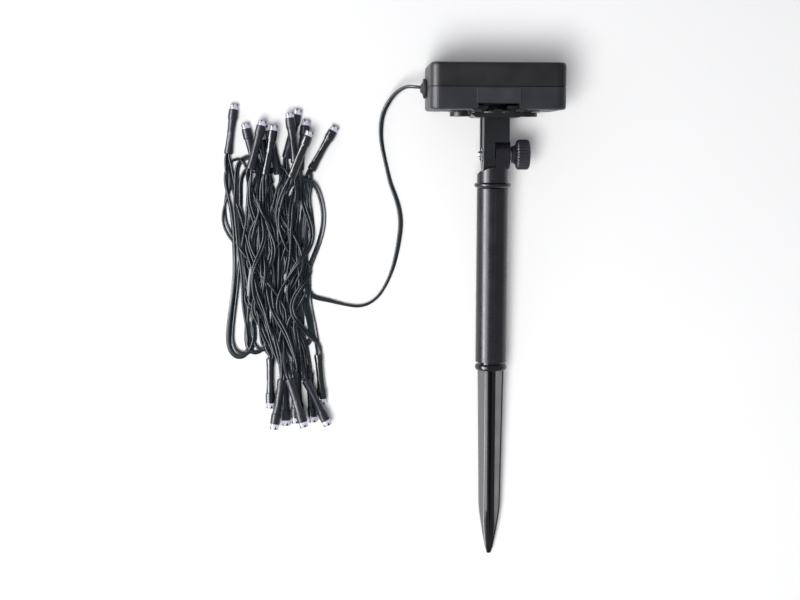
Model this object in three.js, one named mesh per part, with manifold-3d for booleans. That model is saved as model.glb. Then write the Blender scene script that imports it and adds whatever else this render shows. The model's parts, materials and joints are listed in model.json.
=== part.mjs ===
// Solar string lights: a solar head with its battery and controls, on a ground stake with a
// tilting knuckle, and a string of twenty lamps bundled into a hank beside it.
// Units are millimetres. The whole product lies on a table, the plane z = 0: the head rests on
// its lower back edge and the stake slopes down to its spike.
//
// The head and the stake are modelled upright and then laid down as one group. In that group's
// own axes x runs across, z runs up the stake from the spike's tip to the solar panel, and -y is
// the front, the side that faces up once the stake lies down.
import * as THREE from 'three';
import { mergeVertices } from 'three/addons/utils/BufferGeometryUtils.js';
import Module from 'manifold-3d';

const wasm = await Module();
wasm.setup();

// ---- driving dimensions -------------------------------------------------------------------
const GAP = 0.3;                    // clearance between pieces that touch
const LYING_TILT = 5.97;            // slope of the stake as it lies, degrees

const SPIKE_TURN = -22;             // the spike's cross section is turned by this, degrees
const SPIKE_TOP = 106.8;            // underside of the spike's flange
const FIN_THICKNESS = 2.2;
const PLUG_RADIUS = 7.0;
const PLUG_BORE = 5.2;
const TUBE_RADIUS = 8.8;
const TUBE_BORE = 7.4;
const TUBE_BOTTOM = 111.4;
const TUBE_TOP = 209.6;
const FERRULE_FLANGE = 10.35;
const PIVOT = 228.5;                // height of the tilt axis
const JOINT_FACE = 0.3;             // x of the leg's side, which the ear turns against
const KNUCKLE = 8.4;                // radius of the ear around the tilt axis
const LEG_END = 10.9;               // radius of the leg's rounded end
const SADDLE = 11.3;                // radius of the hollows that the leg and the ear turn in
const COLUMN_DEPTH = 9;             // half depth of the bracket's column
const BOLT_RADIUS = 1.95;
const BOLT_HOLE = 2.3;

const HEAD_BOTTOM = 252.9;
const HEAD_TOP = 278.4;
const SEAM = 265.2;
const HEAD_WIDTH = 74;
const HEAD_DEPTH = 60;
const HEAD_CORNER = 5.5;
const WALL = 2.4;
const FLOOR = 2.0;                  // thickness of the head's floor
const PLATE_BOTTOM = 248.8;
const PLATE_TOP = 251.2;
const SLOT_HALF = 11.2;             // half width of the slot that the bracket slides into
const SLOT_MOUTH = 9.4;             // half width between the slot's lips
const SLOT_TOP = 256.2;
const SLOT_END = 9.7;               // the slot runs from the front face back to this y
const SCREW_X = 30;
const SCREW_Y = 24;
const BUTTON_X = 22;
const BUTTON_Y = -12;
const BATTERY_Y = 19.2;
const BATTERY_Z = 262.65;
const BATTERY_RADIUS = 7.25;
const DOOR_SCREW_X = 27.6;
const GROMMET_Y = 8;
const PANEL_WIDTH = 61.4;
const PANEL_DEPTH = 47.4;

const LAMP_RADIUS = 2.9;
const LAMP_SLEEVE = 25.7;
const LAMP_LENGTH = 28.6;
const LEAD_WIDTH = 3.0;
const HANK_HEIGHT = 18.4;

// ---- colours ------------------------------------------------------------------------------
const material = (color, roughness, metalness = 0) =>
  new THREE.MeshStandardMaterial({ color, roughness, metalness });
const HOUSING = [0x2d2e33, 0.5];
const SATIN = [0x3a3a42, 0.42];
const GLOSS = [0x1c1d22, 0.2];
const RUBBER = [0x17181a, 0.7];
const STEEL = [0xc3c6cc, 0.3, 1];
const CABLE = [0x20302e, 0.35];

// ---- solids and joins ---------------------------------------------------------------------
function toSolid(geometry) {
  const bare = geometry.clone();
  bare.deleteAttribute('normal');
  bare.deleteAttribute('uv');
  const merged = mergeVertices(bare, 1e-4);
  const mesh = new wasm.Mesh({
    numProp: 3,
    vertProperties: new Float32Array(merged.attributes.position.array),
    triVerts: new Uint32Array(merged.index.array),
  });
  return new wasm.Manifold(mesh);
}

function toGeometry(solid) {
  const mesh = solid.getMesh();
  const geometry = new THREE.BufferGeometry();
  geometry.setAttribute('position', new THREE.BufferAttribute(mesh.vertProperties, 3));
  geometry.setIndex(new THREE.BufferAttribute(mesh.triVerts, 1));
  geometry.computeVertexNormals();
  return geometry;
}

const join = (first, ...rest) =>
  toGeometry(rest.reduce((sum, piece) => sum.add(toSolid(piece)), toSolid(first)));
const cut = (first, ...tools) =>
  toGeometry(tools.reduce((left, tool) => left.subtract(toSolid(tool)), toSolid(first)));

// A box given by its lowest and highest corner.
function block(low, high) {
  const size = high.map((value, i) => value - low[i]);
  const box = new THREE.BoxGeometry(...size);
  return box.translate(...low.map((value, i) => value + size[i] / 2));
}

// A round rod along z.
function rod(radius, bottom, top, segments = 24, x = 0, y = 0) {
  const cylinder = new THREE.CylinderGeometry(radius, radius, top - bottom, segments);
  return cylinder.rotateX(Math.PI / 2).translate(x, y, (bottom + top) / 2);
}

// A round rod along x, centred on (y, z).
function crossRod(radius, left, right, y, z, segments = 24) {
  const cylinder = new THREE.CylinderGeometry(radius, radius, right - left, segments);
  return cylinder.rotateZ(-Math.PI / 2).translate((left + right) / 2, y, z);
}

// A body turned about z; each point of the profile is [radius, height].
function turned(profile, segments = 32) {
  const points = profile.map(([radius, height]) => new THREE.Vector2(radius, height));
  return new THREE.LatheGeometry(points, segments).rotateX(Math.PI / 2);
}

// The same body with its axis along x, pointing to +x.
const turnedAcross = (profile, segments) => turned(profile, segments).rotateY(Math.PI / 2);

function roundedRectangle(width, depth, radius, shape = new THREE.Shape()) {
  const [x, y] = [width / 2, depth / 2];
  shape.moveTo(x - radius, -y);
  shape.absarc(x - radius, -y + radius, radius, -Math.PI / 2, 0);
  shape.absarc(x - radius, y - radius, radius, 0, Math.PI / 2);
  shape.absarc(-x + radius, y - radius, radius, Math.PI / 2, Math.PI);
  shape.absarc(-x + radius, -y + radius, radius, Math.PI, Math.PI * 1.5);
  return shape;
}

// A slab with rounded corners in plan; round is the fillet around its two flat faces.
function slab(width, depth, radius, bottom, top, round = 0, curveSegments = 4) {
  const options = { depth: top - bottom - 2 * round, bevelEnabled: round > 0, curveSegments };
  if (round > 0) {
    Object.assign(options, { bevelThickness: round, bevelSize: round });
    Object.assign(options, { bevelOffset: -round, bevelSegments: 3 });
  }
  const geometry = new THREE.ExtrudeGeometry(roundedRectangle(width, depth, radius), options);
  return geometry.translate(0, 0, bottom + round);
}

// A prism along x whose outline is a list of [y, z].
function sideProfile(outline, left, right) {
  const shape = new THREE.Shape(outline.map(([y, z]) => new THREE.Vector2(y, z)));
  const prism = new THREE.ExtrudeGeometry(shape, { depth: right - left, bevelEnabled: false });
  return prism.rotateX(Math.PI / 2).rotateZ(Math.PI / 2).translate(left, 0, 0);
}

// A prism along y whose outline is a list of [x, z].
function frontProfile(outline, front, back) {
  const shape = new THREE.Shape(outline.map(([x, z]) => new THREE.Vector2(x, z)));
  const prism = new THREE.ExtrudeGeometry(shape, { depth: back - front, bevelEnabled: false });
  return prism.rotateX(Math.PI / 2).translate(0, back, 0);
}

const product = new THREE.Group();
const upright = new THREE.Group();

function place(group, name, geometry, look) {
  const mesh = new THREE.Mesh(geometry, material(...look));
  mesh.name = name;
  group.add(mesh);
  return mesh;
}

// ---- ground stake -------------------------------------------------------------------------
function groundSpike() {
  const side = [[0, 0], [1.1, 0], [2.2, 3.5], [4.1, 13], [5.5, 21.5], [6.3, 28], [7.6, SPIKE_TOP + 0.5]];
  const mirror = side.slice(1).reverse().map(([x, z]) => [-x, z]);
  const outline = [...side.slice(1), ...mirror];
  const fin = frontProfile(outline, -FIN_THICKNESS / 2, FIN_THICKNESS / 2);
  const crossFin = fin.clone().rotateZ(Math.PI / 2);
  const turn = THREE.MathUtils.degToRad(SPIKE_TURN);
  const core = rod(1.9, 6, SPIKE_TOP + 1, 8);
  const flangeAndPlug = turned([
    [0, SPIKE_TOP], [8.3, SPIKE_TOP], [9.1, SPIKE_TOP + 1.1], [9.1, SPIKE_TOP + 2.3],
    [8.3, SPIKE_TOP + 3.4], [PLUG_RADIUS, SPIKE_TOP + 3.4], [PLUG_RADIUS, SPIKE_TOP + 22.6],
    [PLUG_RADIUS - 0.8, SPIKE_TOP + 23.6], [PLUG_BORE, SPIKE_TOP + 23.6],
    [PLUG_BORE, SPIKE_TOP + 5.5], [0, SPIKE_TOP + 5.5],
  ]);
  return join(flangeAndPlug, fin.rotateZ(turn), crossFin.rotateZ(turn), core);
}

function poleTube() {
  return turned([
    [TUBE_BORE, TUBE_BOTTOM], [TUBE_RADIUS - 0.3, TUBE_BOTTOM], [TUBE_RADIUS, TUBE_BOTTOM + 0.3],
    [TUBE_RADIUS, TUBE_TOP - 0.3], [TUBE_RADIUS - 0.3, TUBE_TOP], [TUBE_BORE, TUBE_TOP],
    [TUBE_BORE, TUBE_BOTTOM],
  ]);
}

function poleFerrule() {
  const flange = TUBE_TOP + GAP;
  const barrel = turned([
    [0, flange - 4], [PLUG_BORE, flange - 4], [PLUG_BORE, 189], [PLUG_RADIUS - 0.8, 189],
    [PLUG_RADIUS, 190], [PLUG_RADIUS, flange], [TUBE_RADIUS + 0.3, flange],
    [FERRULE_FLANGE, flange + 1.3], [FERRULE_FLANGE, flange + 2.3], [TUBE_RADIUS, flange + 2.8],
    [TUBE_RADIUS, PIVOT], [0, PIVOT],
  ]);
  const saddle = crossRod(SADDLE, -12, JOINT_FACE + 0.5, 0, PIVOT, 48);
  const ear = crossRod(KNUCKLE, JOINT_FACE + 0.5, 9.2, 0, PIVOT, 32);
  const hole = crossRod(BOLT_HOLE, -1, 12, 0, PIVOT, 16);
  return cut(join(cut(barrel, saddle), ear), hole);
}

// ---- bracket between the stake and the head -------------------------------------------------
function mountingBracket() {
  const endFlat = PIVOT - Math.sqrt(LEG_END ** 2 - COLUMN_DEPTH ** 2);
  const steps = 8;
  const half = Math.asin(COLUMN_DEPTH / LEG_END);
  const arc = Array.from({ length: steps - 1 }, (_, i) => {
    const angle = -half + (2 * half * (i + 1)) / steps;
    return [LEG_END * Math.sin(angle), PIVOT - LEG_END * Math.cos(angle)];
  });
  const legSide = [
    [COLUMN_DEPTH, PLATE_TOP - 1], [-COLUMN_DEPTH, PLATE_TOP - 1], [-COLUMN_DEPTH, endFlat],
    ...arc, [COLUMN_DEPTH, endFlat],
  ];
  const leg = sideProfile(legSide, -5.9, JOINT_FACE);
  const column = block([-0.6, -COLUMN_DEPTH, PIVOT], [8.3, COLUMN_DEPTH, PLATE_TOP - 1]);
  const backFlange = block([-6.6, 5.6, PIVOT - 3.5], [8.3, 10, PLATE_TOP - 1]);
  const arch = crossRod(SADDLE, JOINT_FACE, 12, 0, PIVOT, 48);
  const stopRib = block([-5.9, 7, PIVOT - 7.2], [JOINT_FACE, 10.6, PIVOT - 3.4]);
  const plate = frontProfile([
    [-14, PLATE_TOP], [-14, PLATE_TOP - 1], [-11.8, PLATE_BOTTOM], [11.8, PLATE_BOTTOM],
    [14, PLATE_TOP - 1], [14, PLATE_TOP],
  ], -24, 9.4);
  const wings = slab(49, 14, 6.9, 249.6, 252, 0, 5);
  const wingClear = block([-14.8, -8, PLATE_TOP - 0.3], [14.8, 8, 253]);
  const rails = [-1, 1].flatMap((side) => {
    const web = [7.4, 9.0].map((x) => x * side).sort((a, b) => a - b);
    const flange = [5.2, 10.8].map((x) => x * side).sort((a, b) => a - b);
    return [
      block([web[0], -24, PLATE_TOP - 0.5], [web[1], 9.4, 253.5]),
      block([flange[0], -24, 253.2], [flange[1], 9.4, 255.0]),
    ];
  });
  const tongue = block([-2.4, -24, PLATE_TOP - 0.5], [2.4, 2, 253.2]);
  const catchBump = block([-2.4, -3, 252.8], [2.4, 0, 255.4]);
  const nutPocket = crossRod(4.5, -8, -2.9, 0, PIVOT, 6);
  const hole = crossRod(BOLT_HOLE, -8, 3, 0, PIVOT, 16);
  const screwHoles = [-19.5, 19.5].map((x) => rod(2.1, 249, 253, 16, x, 0));
  const post = join(cut(join(column, backFlange), arch), leg, stopRib, plate);
  const top = join(cut(wings, wingClear), ...rails, tongue, catchBump);
  return cut(join(post, top), nutPocket, hole, ...screwHoles);
}

// ---- clamp ------------------------------------------------------------------------------------
function thumbKnob() {
  const ribs = 36;
  const [neckStart, headStart, headEnd] = [10.3, 13.0, 20.4];
  const outline = new THREE.Shape();
  for (let i = 0; i < ribs * 2; i += 1) {
    const angle = (Math.PI * i) / ribs;
    const radius = i % 2 ? 8.05 : 8.4;
    const point = [radius * Math.cos(angle), radius * Math.sin(angle)];
    if (i === 0) outline.moveTo(...point);
    else outline.lineTo(...point);
  }
  const ribbed = new THREE.ExtrudeGeometry(outline, {
    depth: headEnd - headStart - 1.6, bevelEnabled: false,
  }).translate(0, 0, headStart + 0.8).rotateY(Math.PI / 2);
  const neck = turnedAcross([
    [0, neckStart], [4.8, neckStart], [4.8, neckStart + 1.2], [5.6, headStart - 0.5],
    [7.4, headStart], [8.0, headStart + 0.9], [0, headStart + 0.9],
  ], 24);
  const cap = turnedAcross([[0, headEnd - 0.9], [8.0, headEnd - 0.9], [6.9, headEnd], [0, headEnd]], 24);
  const bore = crossRod(BOLT_RADIUS + GAP, neckStart - 1, headStart + 1.9, 0, 0, 16);
  return cut(join(ribbed, neck, cap), bore).translate(0, 0, PIVOT);
}

function clampBolt() {
  const profile = [[0, -9], [1.5, -9], [BOLT_RADIUS, -8.5], [BOLT_RADIUS, 14.6], [0, 14.6]];
  return turnedAcross(profile, 16).translate(0, 0, PIVOT);
}

function clampWasher() {
  const profile = [[BOLT_HOLE, 9.4], [4.6, 9.4], [4.6, 10], [BOLT_HOLE, 10], [BOLT_HOLE, 9.4]];
  return turnedAcross(profile, 20).translate(0, 0, PIVOT);
}

function hexNut() {
  const blank = crossRod(4.04, -6.3, -3.2, 0, PIVOT, 6);
  return cut(blank, crossRod(BOLT_HOLE, -8, 0, 0, PIVOT, 16));
}

// ---- head ---------------------------------------------------------------------------------
const screwPlaces = [[-1, -1], [1, -1], [1, 1], [-1, 1]].map(([x, y]) => [x * SCREW_X, y * SCREW_Y]);
const grommetHole = () => crossRod(3.2, -HEAD_WIDTH / 2 - 1, -HEAD_WIDTH / 2 + WALL + 1, GROMMET_Y, SEAM, 16);

function topCover() {
  const outer = slab(HEAD_WIDTH, HEAD_DEPTH, HEAD_CORNER, SEAM - 6, HEAD_TOP, 2.4);
  const below = block([-40, -40, SEAM - 10], [40, 40, SEAM + GAP / 2]);
  const inside = [HEAD_WIDTH - 2 * WALL, HEAD_DEPTH - 2 * WALL];
  const hollow = slab(...inside, HEAD_CORNER - WALL, SEAM - 10, HEAD_TOP - 3.8, 0, 2);
  const pocket = slab(PANEL_WIDTH + 2 * GAP, PANEL_DEPTH + 2 * GAP, 2, HEAD_TOP - 2.2, HEAD_TOP + 1, 0, 2);
  const wireHole = rod(1.6, HEAD_TOP - 6, HEAD_TOP, 8, 18, 15);
  const posts = screwPlaces.map(([x, y]) => rod(3, HEAD_BOTTOM + 5.1, HEAD_TOP - 3.5, 12, x, y));
  const pilots = screwPlaces.map(([x, y]) => rod(1.6, HEAD_BOTTOM + 4, HEAD_TOP - 8, 8, x, y));
  return cut(join(cut(outer, below, hollow), ...posts), ...pilots, pocket, wireHole, grommetHole());
}

function baseShell() {
  const outer = slab(HEAD_WIDTH, HEAD_DEPTH, HEAD_CORNER, HEAD_BOTTOM, SEAM + 6, 1.6);
  const above = block([-40, -40, SEAM - GAP / 2], [40, 40, SEAM + 10]);
  const inside = [HEAD_WIDTH - 2 * WALL, HEAD_DEPTH - 2 * WALL];
  const hollow = slab(...inside, HEAD_CORNER - WALL, HEAD_BOTTOM + FLOOR, SEAM + 10, 0, 2);
  const grooveOuter = slab(inside[0] + 3.7, inside[1] + 3.7, HEAD_CORNER - 0.55, SEAM - 1.7, SEAM + 1, 0, 2);
  const grooveInner = slab(inside[0] + 1.1, inside[1] + 1.1, HEAD_CORNER - 1.85, SEAM - 3, SEAM + 2, 0, 2);
  const groove = cut(grooveOuter, grooveInner);
  const shell = cut(outer, above, hollow, groove);

  // The lips below the floor that the bracket's rails run on, and the housing above them.
  const lips = [-1, 1].map((side) => frontProfile([
    [side * SLOT_MOUTH, HEAD_BOTTOM + 0.2], [side * SLOT_MOUTH, HEAD_BOTTOM - 1.4],
    [side * 13, HEAD_BOTTOM - 1.4], [side * 14.4, HEAD_BOTTOM + 0.2],
  ], -HEAD_DEPTH / 2 + 0.6, SLOT_END));
  const housing = block([-13.6, -HEAD_DEPTH / 2 + 1, HEAD_BOTTOM], [13.6, SLOT_END + 1.5, SLOT_TOP + 2]);
  const slot = block([-SLOT_HALF, -HEAD_DEPTH / 2 - 1, HEAD_BOTTOM], [SLOT_HALF, SLOT_END, SLOT_TOP]);
  const bosses = screwPlaces.map(([x, y]) => rod(3.4, HEAD_BOTTOM + 0.5, HEAD_BOTTOM + 4.8, 12, x, y));
  const heads = screwPlaces.map(([x, y]) => rod(2.9, HEAD_BOTTOM - 1, HEAD_BOTTOM + 2.6, 12, x, y));
  const shanks = screwPlaces.map(([x, y]) => rod(1.6, HEAD_BOTTOM, HEAD_BOTTOM + 6, 8, x, y));
  const boardPosts = [-1, 1].map((side) => rod(2, HEAD_BOTTOM + 1, 259.4, 10, side * 19, -24.5));
  const buttonHoles = [-1, 1].map((side) => rod(3.6, HEAD_BOTTOM - 1, HEAD_BOTTOM + 3, 16, side * BUTTON_X, BUTTON_Y));

  const doorRecess = join(
    block([-27.2, 10.6, HEAD_BOTTOM - 1], [27.2, 27.9, HEAD_BOTTOM + 1.15]),
    block([26, 16.1, HEAD_BOTTOM - 1], [29.8, 20.9, HEAD_BOTTOM + 1.15]),
  );
  const doorway = block([-25.2, 11.9, HEAD_BOTTOM], [25.2, 26.5, HEAD_BOTTOM + 4]);
  const doorScrewHole = rod(1.2, HEAD_BOTTOM, HEAD_BOTTOM + 5, 8, DOOR_SCREW_X, 18.5);
  const body = join(shell, ...bosses, ...boardPosts, housing);
  const opened = cut(body, slot, ...heads, ...shanks, ...buttonHoles, doorRecess, doorway);
  return cut(join(opened, ...lips), doorScrewHole, grommetHole());
}

function caseSeal() {
  const inside = [HEAD_WIDTH - 2 * WALL, HEAD_DEPTH - 2 * WALL];
  const outer = slab(inside[0] + 3.1, inside[1] + 3.1, HEAD_CORNER - 0.85, SEAM - 1.4, SEAM - 0.1, 0, 2);
  const inner = slab(inside[0] + 1.7, inside[1] + 1.7, HEAD_CORNER - 1.55, SEAM - 3, SEAM + 3, 0, 2);
  const cableWay = crossRod(3.5, -HEAD_WIDTH / 2, -HEAD_WIDTH / 2 + WALL + 1, GROMMET_Y, SEAM, 16);
  return cut(outer, inner, cableWay);
}

const solarPanel = () => slab(PANEL_WIDTH, PANEL_DEPTH, 1.8, HEAD_TOP - 1.9, HEAD_TOP - 0.2, 0, 2);

function cableGrommet() {
  const face = -HEAD_WIDTH / 2;
  const profile = [
    [0, face - 3.4], [1.9, face - 3.4], [3.4, face - 2.7], [4.9, face - 1.6], [5.6, face - GAP],
    [2.9, face - GAP], [2.9, face + WALL + GAP], [4.2, face + WALL + GAP], [4.2, face + WALL + 1.3],
    [0, face + WALL + 1.3],
  ];
  return turnedAcross(profile, 20).translate(0, GROMMET_Y, SEAM);
}

function button() {
  return turned([
    [0, HEAD_BOTTOM - 0.6], [2.6, HEAD_BOTTOM - 0.4], [3.3, HEAD_BOTTOM + 0.2],
    [3.3, HEAD_BOTTOM + FLOOR + 0.3], [4.6, HEAD_BOTTOM + FLOOR + 0.3], [4.6, HEAD_BOTTOM + FLOOR + 1],
    [1.4, HEAD_BOTTOM + FLOOR + 1], [1.4, HEAD_BOTTOM + 3.8], [0, HEAD_BOTTOM + 3.8],
  ], 16);
}

const tactSwitch = () => join(block([-3, -3, 258.2], [3, 3, 259.5]), rod(1.6, 257.8, 258.4, 12));

const circuitBoard = () => block([-26, -27, 259.8], [26, -6, 261]);

const controllerChip = () => block([-6, -19, 261.3], [4, -13, 262.7]);

const chargeCoil = () => rod(3.4, 261.3, 265.3, 16, 14, -17);

function batteryCell() {
  const half = 25.25;
  const profile = [
    [0, -half], [6.4, -half], [BATTERY_RADIUS, -half + 0.8], [BATTERY_RADIUS, half - 1.9],
    [6.6, half - 1.1], [2.75, half - 1.1], [2.75, half], [0, half],
  ];
  return turnedAcross(profile, 24).translate(0.9, BATTERY_Y, BATTERY_Z);
}

function batterySpring() {
  // A conical coil of wire on its plate: the coil's turns are worked out from the pitch.
  const plate = block([-29.6, BATTERY_Y - 4, BATTERY_Z - 5], [-29.1, BATTERY_Y + 1.1, BATTERY_Z + 5]);
  const turns = 2.5;
  const steps = 30;
  const points = Array.from({ length: steps + 1 }, (_, i) => {
    const part = i / steps;
    const angle = part * turns * 2 * Math.PI;
    const radius = 2.0 - 0.7 * part;
    return new THREE.Vector3(-29.2 + 4.1 * part, radius * Math.cos(angle), radius * Math.sin(angle));
  });
  const wire = new THREE.Shape().absarc(0, 0, 0.4, 0, Math.PI * 2);
  const path = new THREE.CatmullRomCurve3(points);
  const coil = new THREE.ExtrudeGeometry(wire, { steps: 26, extrudePath: path, curveSegments: 5 });
  return join(plate, coil.translate(0, BATTERY_Y - 1.2, BATTERY_Z));
}

const batteryContact = () =>
  block([26.6, BATTERY_Y - 4, BATTERY_Z - 5], [27.1, BATTERY_Y + 1.1, BATTERY_Z + 5]);

function batteryDoor() {
  const plate = block([-26.9, 10.9, HEAD_BOTTOM + 0.05], [26.9, 27.6, HEAD_BOTTOM + 0.85]);
  const tab = block([26, 16.4, HEAD_BOTTOM + 0.05], [29.5, 20.6, HEAD_BOTTOM + 0.85]);
  const rib = block([-24.8, 12.3, HEAD_BOTTOM + 0.5], [24.8, 26.1, HEAD_BOTTOM + 1.9]);
  const inner = block([-23.6, 13.5, HEAD_BOTTOM + 0.85], [23.6, 24.9, HEAD_BOTTOM + 3]);
  const screwHole = rod(1.2, HEAD_BOTTOM - 1, HEAD_BOTTOM + 4, 8, DOOR_SCREW_X, 18.5);
  return cut(join(plate, rib, tab), inner, screwHole);
}

function doorScrew() {
  const profile = [
    [0, HEAD_BOTTOM - 1.0], [1.6, HEAD_BOTTOM - 0.9], [1.9, HEAD_BOTTOM - 0.25],
    [0.85, HEAD_BOTTOM - 0.25], [0.85, HEAD_BOTTOM + 3.6], [0, HEAD_BOTTOM + 3.9],
  ];
  return turned(profile, 12).translate(DOOR_SCREW_X, 18.5, 0);
}

function caseScrew() {
  return turned([
    [0, HEAD_BOTTOM + 0.4], [2.6, HEAD_BOTTOM + 0.4], [2.6, HEAD_BOTTOM + 2.3],
    [1.3, HEAD_BOTTOM + 2.3], [1.3, HEAD_BOTTOM + 13], [0, HEAD_BOTTOM + 13.6],
  ], 12);
}

place(upright, 'ground_spike', groundSpike(), GLOSS);
place(upright, 'pole_tube', poleTube(), SATIN);
place(upright, 'pole_ferrule', poleFerrule(), SATIN);
place(upright, 'mounting_bracket', mountingBracket(), HOUSING);
place(upright, 'thumb_knob', thumbKnob(), SATIN);
place(upright, 'clamp_bolt', clampBolt(), STEEL);
place(upright, 'clamp_washer', clampWasher(), STEEL);
place(upright, 'hex_nut', hexNut(), STEEL);
place(upright, 'base_shell', baseShell(), HOUSING);
place(upright, 'top_cover', topCover(), HOUSING);
place(upright, 'case_seal', caseSeal(), RUBBER);
place(upright, 'solar_panel', solarPanel(), [0x151a2c, 0.2]);
place(upright, 'circuit_board', circuitBoard(), [0x1f5a34, 0.5]);
place(upright, 'controller_chip', controllerChip(), [0x151515, 0.5]);
place(upright, 'charge_coil', chargeCoil(), [0x2a2320, 0.5]);
place(upright, 'battery_cell', batteryCell(), [0x2f6a3c, 0.35]);
place(upright, 'battery_spring', batterySpring(), STEEL);
place(upright, 'battery_contact', batteryContact(), STEEL);
place(upright, 'battery_door', batteryDoor(), HOUSING);
place(upright, 'battery_door_screw', doorScrew(), STEEL);
place(upright, 'power_button', button(), RUBBER).position.set(-BUTTON_X, BUTTON_Y, 0);
place(upright, 'mode_button', button(), RUBBER).position.set(BUTTON_X, BUTTON_Y, 0);
place(upright, 'power_switch', tactSwitch(), [0x101010, 0.4]).position.set(-BUTTON_X, BUTTON_Y, 0);
place(upright, 'mode_switch', tactSwitch(), [0x101010, 0.4]).position.set(BUTTON_X, BUTTON_Y, 0);
screwPlaces.forEach(([x, y], i) => {
  place(upright, `case_screw_${i + 1}`, caseScrew(), STEEL).position.set(x, y, 0);
});
place(upright, 'cable_grommet', cableGrommet(), RUBBER);

// ---- laying the stake down ----------------------------------------------------------------
// The upright group turns about x until the front faces up, then it is set down on z = 0, with
// the origin below the middle of its length.
upright.rotation.x = -Math.PI / 2 + THREE.MathUtils.degToRad(LYING_TILT);
product.add(upright);
product.updateMatrixWorld(true);
const grommet = upright.getObjectByName('cable_grommet');
const reach = new THREE.Box3();
upright.children.forEach((mesh) => {
  if (mesh !== grommet) reach.expandByObject(mesh, true);
});
upright.position.set(0, -(reach.min.y + reach.max.y) / 2, -reach.min.z);

// ---- lead and lamp string -----------------------------------------------------------------
// The lead leaves the grommet, drops to the table and runs in a loose S to the hank.
const leadRoute = [
  [-40.8, 125.6, 23.0], [-44.3, 126.0, 22.3], [-47.8, 126.4, 20.0], [-51.4, 125.2, 16.2],
  [-55.1, 122.4, 11.4], [-58.1, 118.6, 6.9], [-60.5, 114.0, 3.7], [-61.9, 108.5, 2.0],
  [-62.2, 101.3, 1.6], [-61.6, 95.2, 1.6], [-60.4, 89.1, 1.6], [-58.8, 81.9, 1.6],
  [-56.7, 73.4, 1.6], [-53.8, 65.5, 1.6], [-51.6, 57.8, 1.6], [-50.8, 50.0, 1.6],
  [-51.6, 41.7, 1.6], [-53.0, 33.7, 1.6], [-55.2, 24.9, 1.6], [-58.8, 15.9, 1.6],
  [-63.5, 8.4, 1.6], [-69.0, 4.0, 1.6], [-75.1, 2.4, 1.6], [-82.6, 3.2, 1.6],
  [-91.3, 5.4, 1.6], [-101.0, 8.0, 1.6],
];

function leadCable() {
  const path = new THREE.CatmullRomCurve3(leadRoute.map((point) => new THREE.Vector3(...point)));
  const section = new THREE.Shape();
  const sides = 8;
  for (let i = 0; i < sides; i += 1) {
    const angle = (2 * Math.PI * (i + 0.5)) / sides;
    const point = [(LEAD_WIDTH / 2) * Math.cos(angle), (LEAD_WIDTH / 2) * Math.sin(angle)];
    if (i === 0) section.moveTo(...point);
    else section.lineTo(...point);
  }
  return new THREE.ExtrudeGeometry(section, { steps: 52, extrudePath: path, curveSegments: 1 });
}

// The outline of the bundled string, seen from above.
const hankOutline = [
  [-150.6, 82.0], [-143.0, 85.4], [-139.8, 76.0], [-130.4, 70.4], [-108.6, 70.0], [-98.3, 66.5],
  [-94.1, 57.4], [-95.5, 44.8], [-99.6, 32.2], [-102.2, 20.2], [-101.9, 7.6], [-101.0, -8.4],
  [-101.6, -20.4], [-108.6, -23.4], [-119.0, -24.0], [-130.4, -24.6], [-138.9, -25.6],
  [-145.2, -15.8], [-144.4, 4.0], [-143.9, 17.3], [-146.9, 31.6], [-150.6, 43.1], [-152.1, 63.1],
];

function stringHank() {
  const outline = new THREE.Shape();
  const round = 3;
  const points = hankOutline.map(([x, y]) => new THREE.Vector2(x, y));
  const smooth = new THREE.CatmullRomCurve3(
    points.map(({ x, y }) => new THREE.Vector3(x, y, 0)), true);
  outline.setFromPoints(smooth.getPoints(46).map(({ x, y }) => new THREE.Vector2(x, y)));
  return new THREE.ExtrudeGeometry(outline, {
    depth: HANK_HEIGHT - 2 * round, bevelThickness: round, bevelSize: round,
    bevelOffset: -round, bevelSegments: 3,
  }).translate(0, 0, round + 0.1);
}

// Each lamp lies level: the tip of its LED, and the direction from there along its sleeve.
const lamps = [
  [-146.2, 118.0, 3, -97], [-140.2, 106.9, 3, -76], [-129.7, 108.1, 9, -104],
  [-123.3, 105.3, 9, -100], [-131.7, 100.4, 3, -78.5], [-114.6, 112.6, 9, -83],
  [-109.7, 115.2, 3, -104], [-105.2, 109.0, 3, -98], [-102.7, 101.4, 15, -112],
  [-88.3, 105.6, 3, -119], [-127.0, 106.1, 3, -78], [-125.6, -56.3, 3, 90],
  [-123.3, -67.8, 9, 81], [-116.6, -66.2, 3, 92], [-110.9, -64.4, 9, 91],
  [-105.9, -66.2, 15, 107], [-101.0, -64.3, 3, 95], [-92.5, -65.7, 9, 116],
  [-95.6, -54.0, 3, 95], [-109.1, -62.0, 3, 93],
];

// A lamp turned about x: the LED's tip at 0, then the sleeve with its collar, to its flared end.
function lampBody() {
  const led = LAMP_LENGTH - LAMP_SLEEVE;
  return turnedAcross([
    [0, 0], [2.4, 0], [2.4, led], [2.75, led], [LAMP_RADIUS, led + 4.8], [LAMP_RADIUS, led + 6.6],
    [2.5, led + 8], [2.5, LAMP_LENGTH - 5], [2.8, LAMP_LENGTH - 1], [2.5, LAMP_LENGTH],
    [0, LAMP_LENGTH],
  ], 8);
}

place(product, 'lead_cable', leadCable(), CABLE);
place(product, 'string_hank', stringHank(), CABLE);
lamps.forEach(([x, y, z, heading], i) => {
  const name = `led_lamp_${String(i + 1).padStart(2, '0')}`;
  const lamp = place(product, name, lampBody(), CABLE);
  lamp.position.set(x, y, z);
  lamp.rotation.z = THREE.MathUtils.degToRad(heading);
});

export default product;
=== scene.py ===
import json
import math

import bmesh
import bpy
import numpy as np
from mathutils import Matrix, Vector


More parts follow.
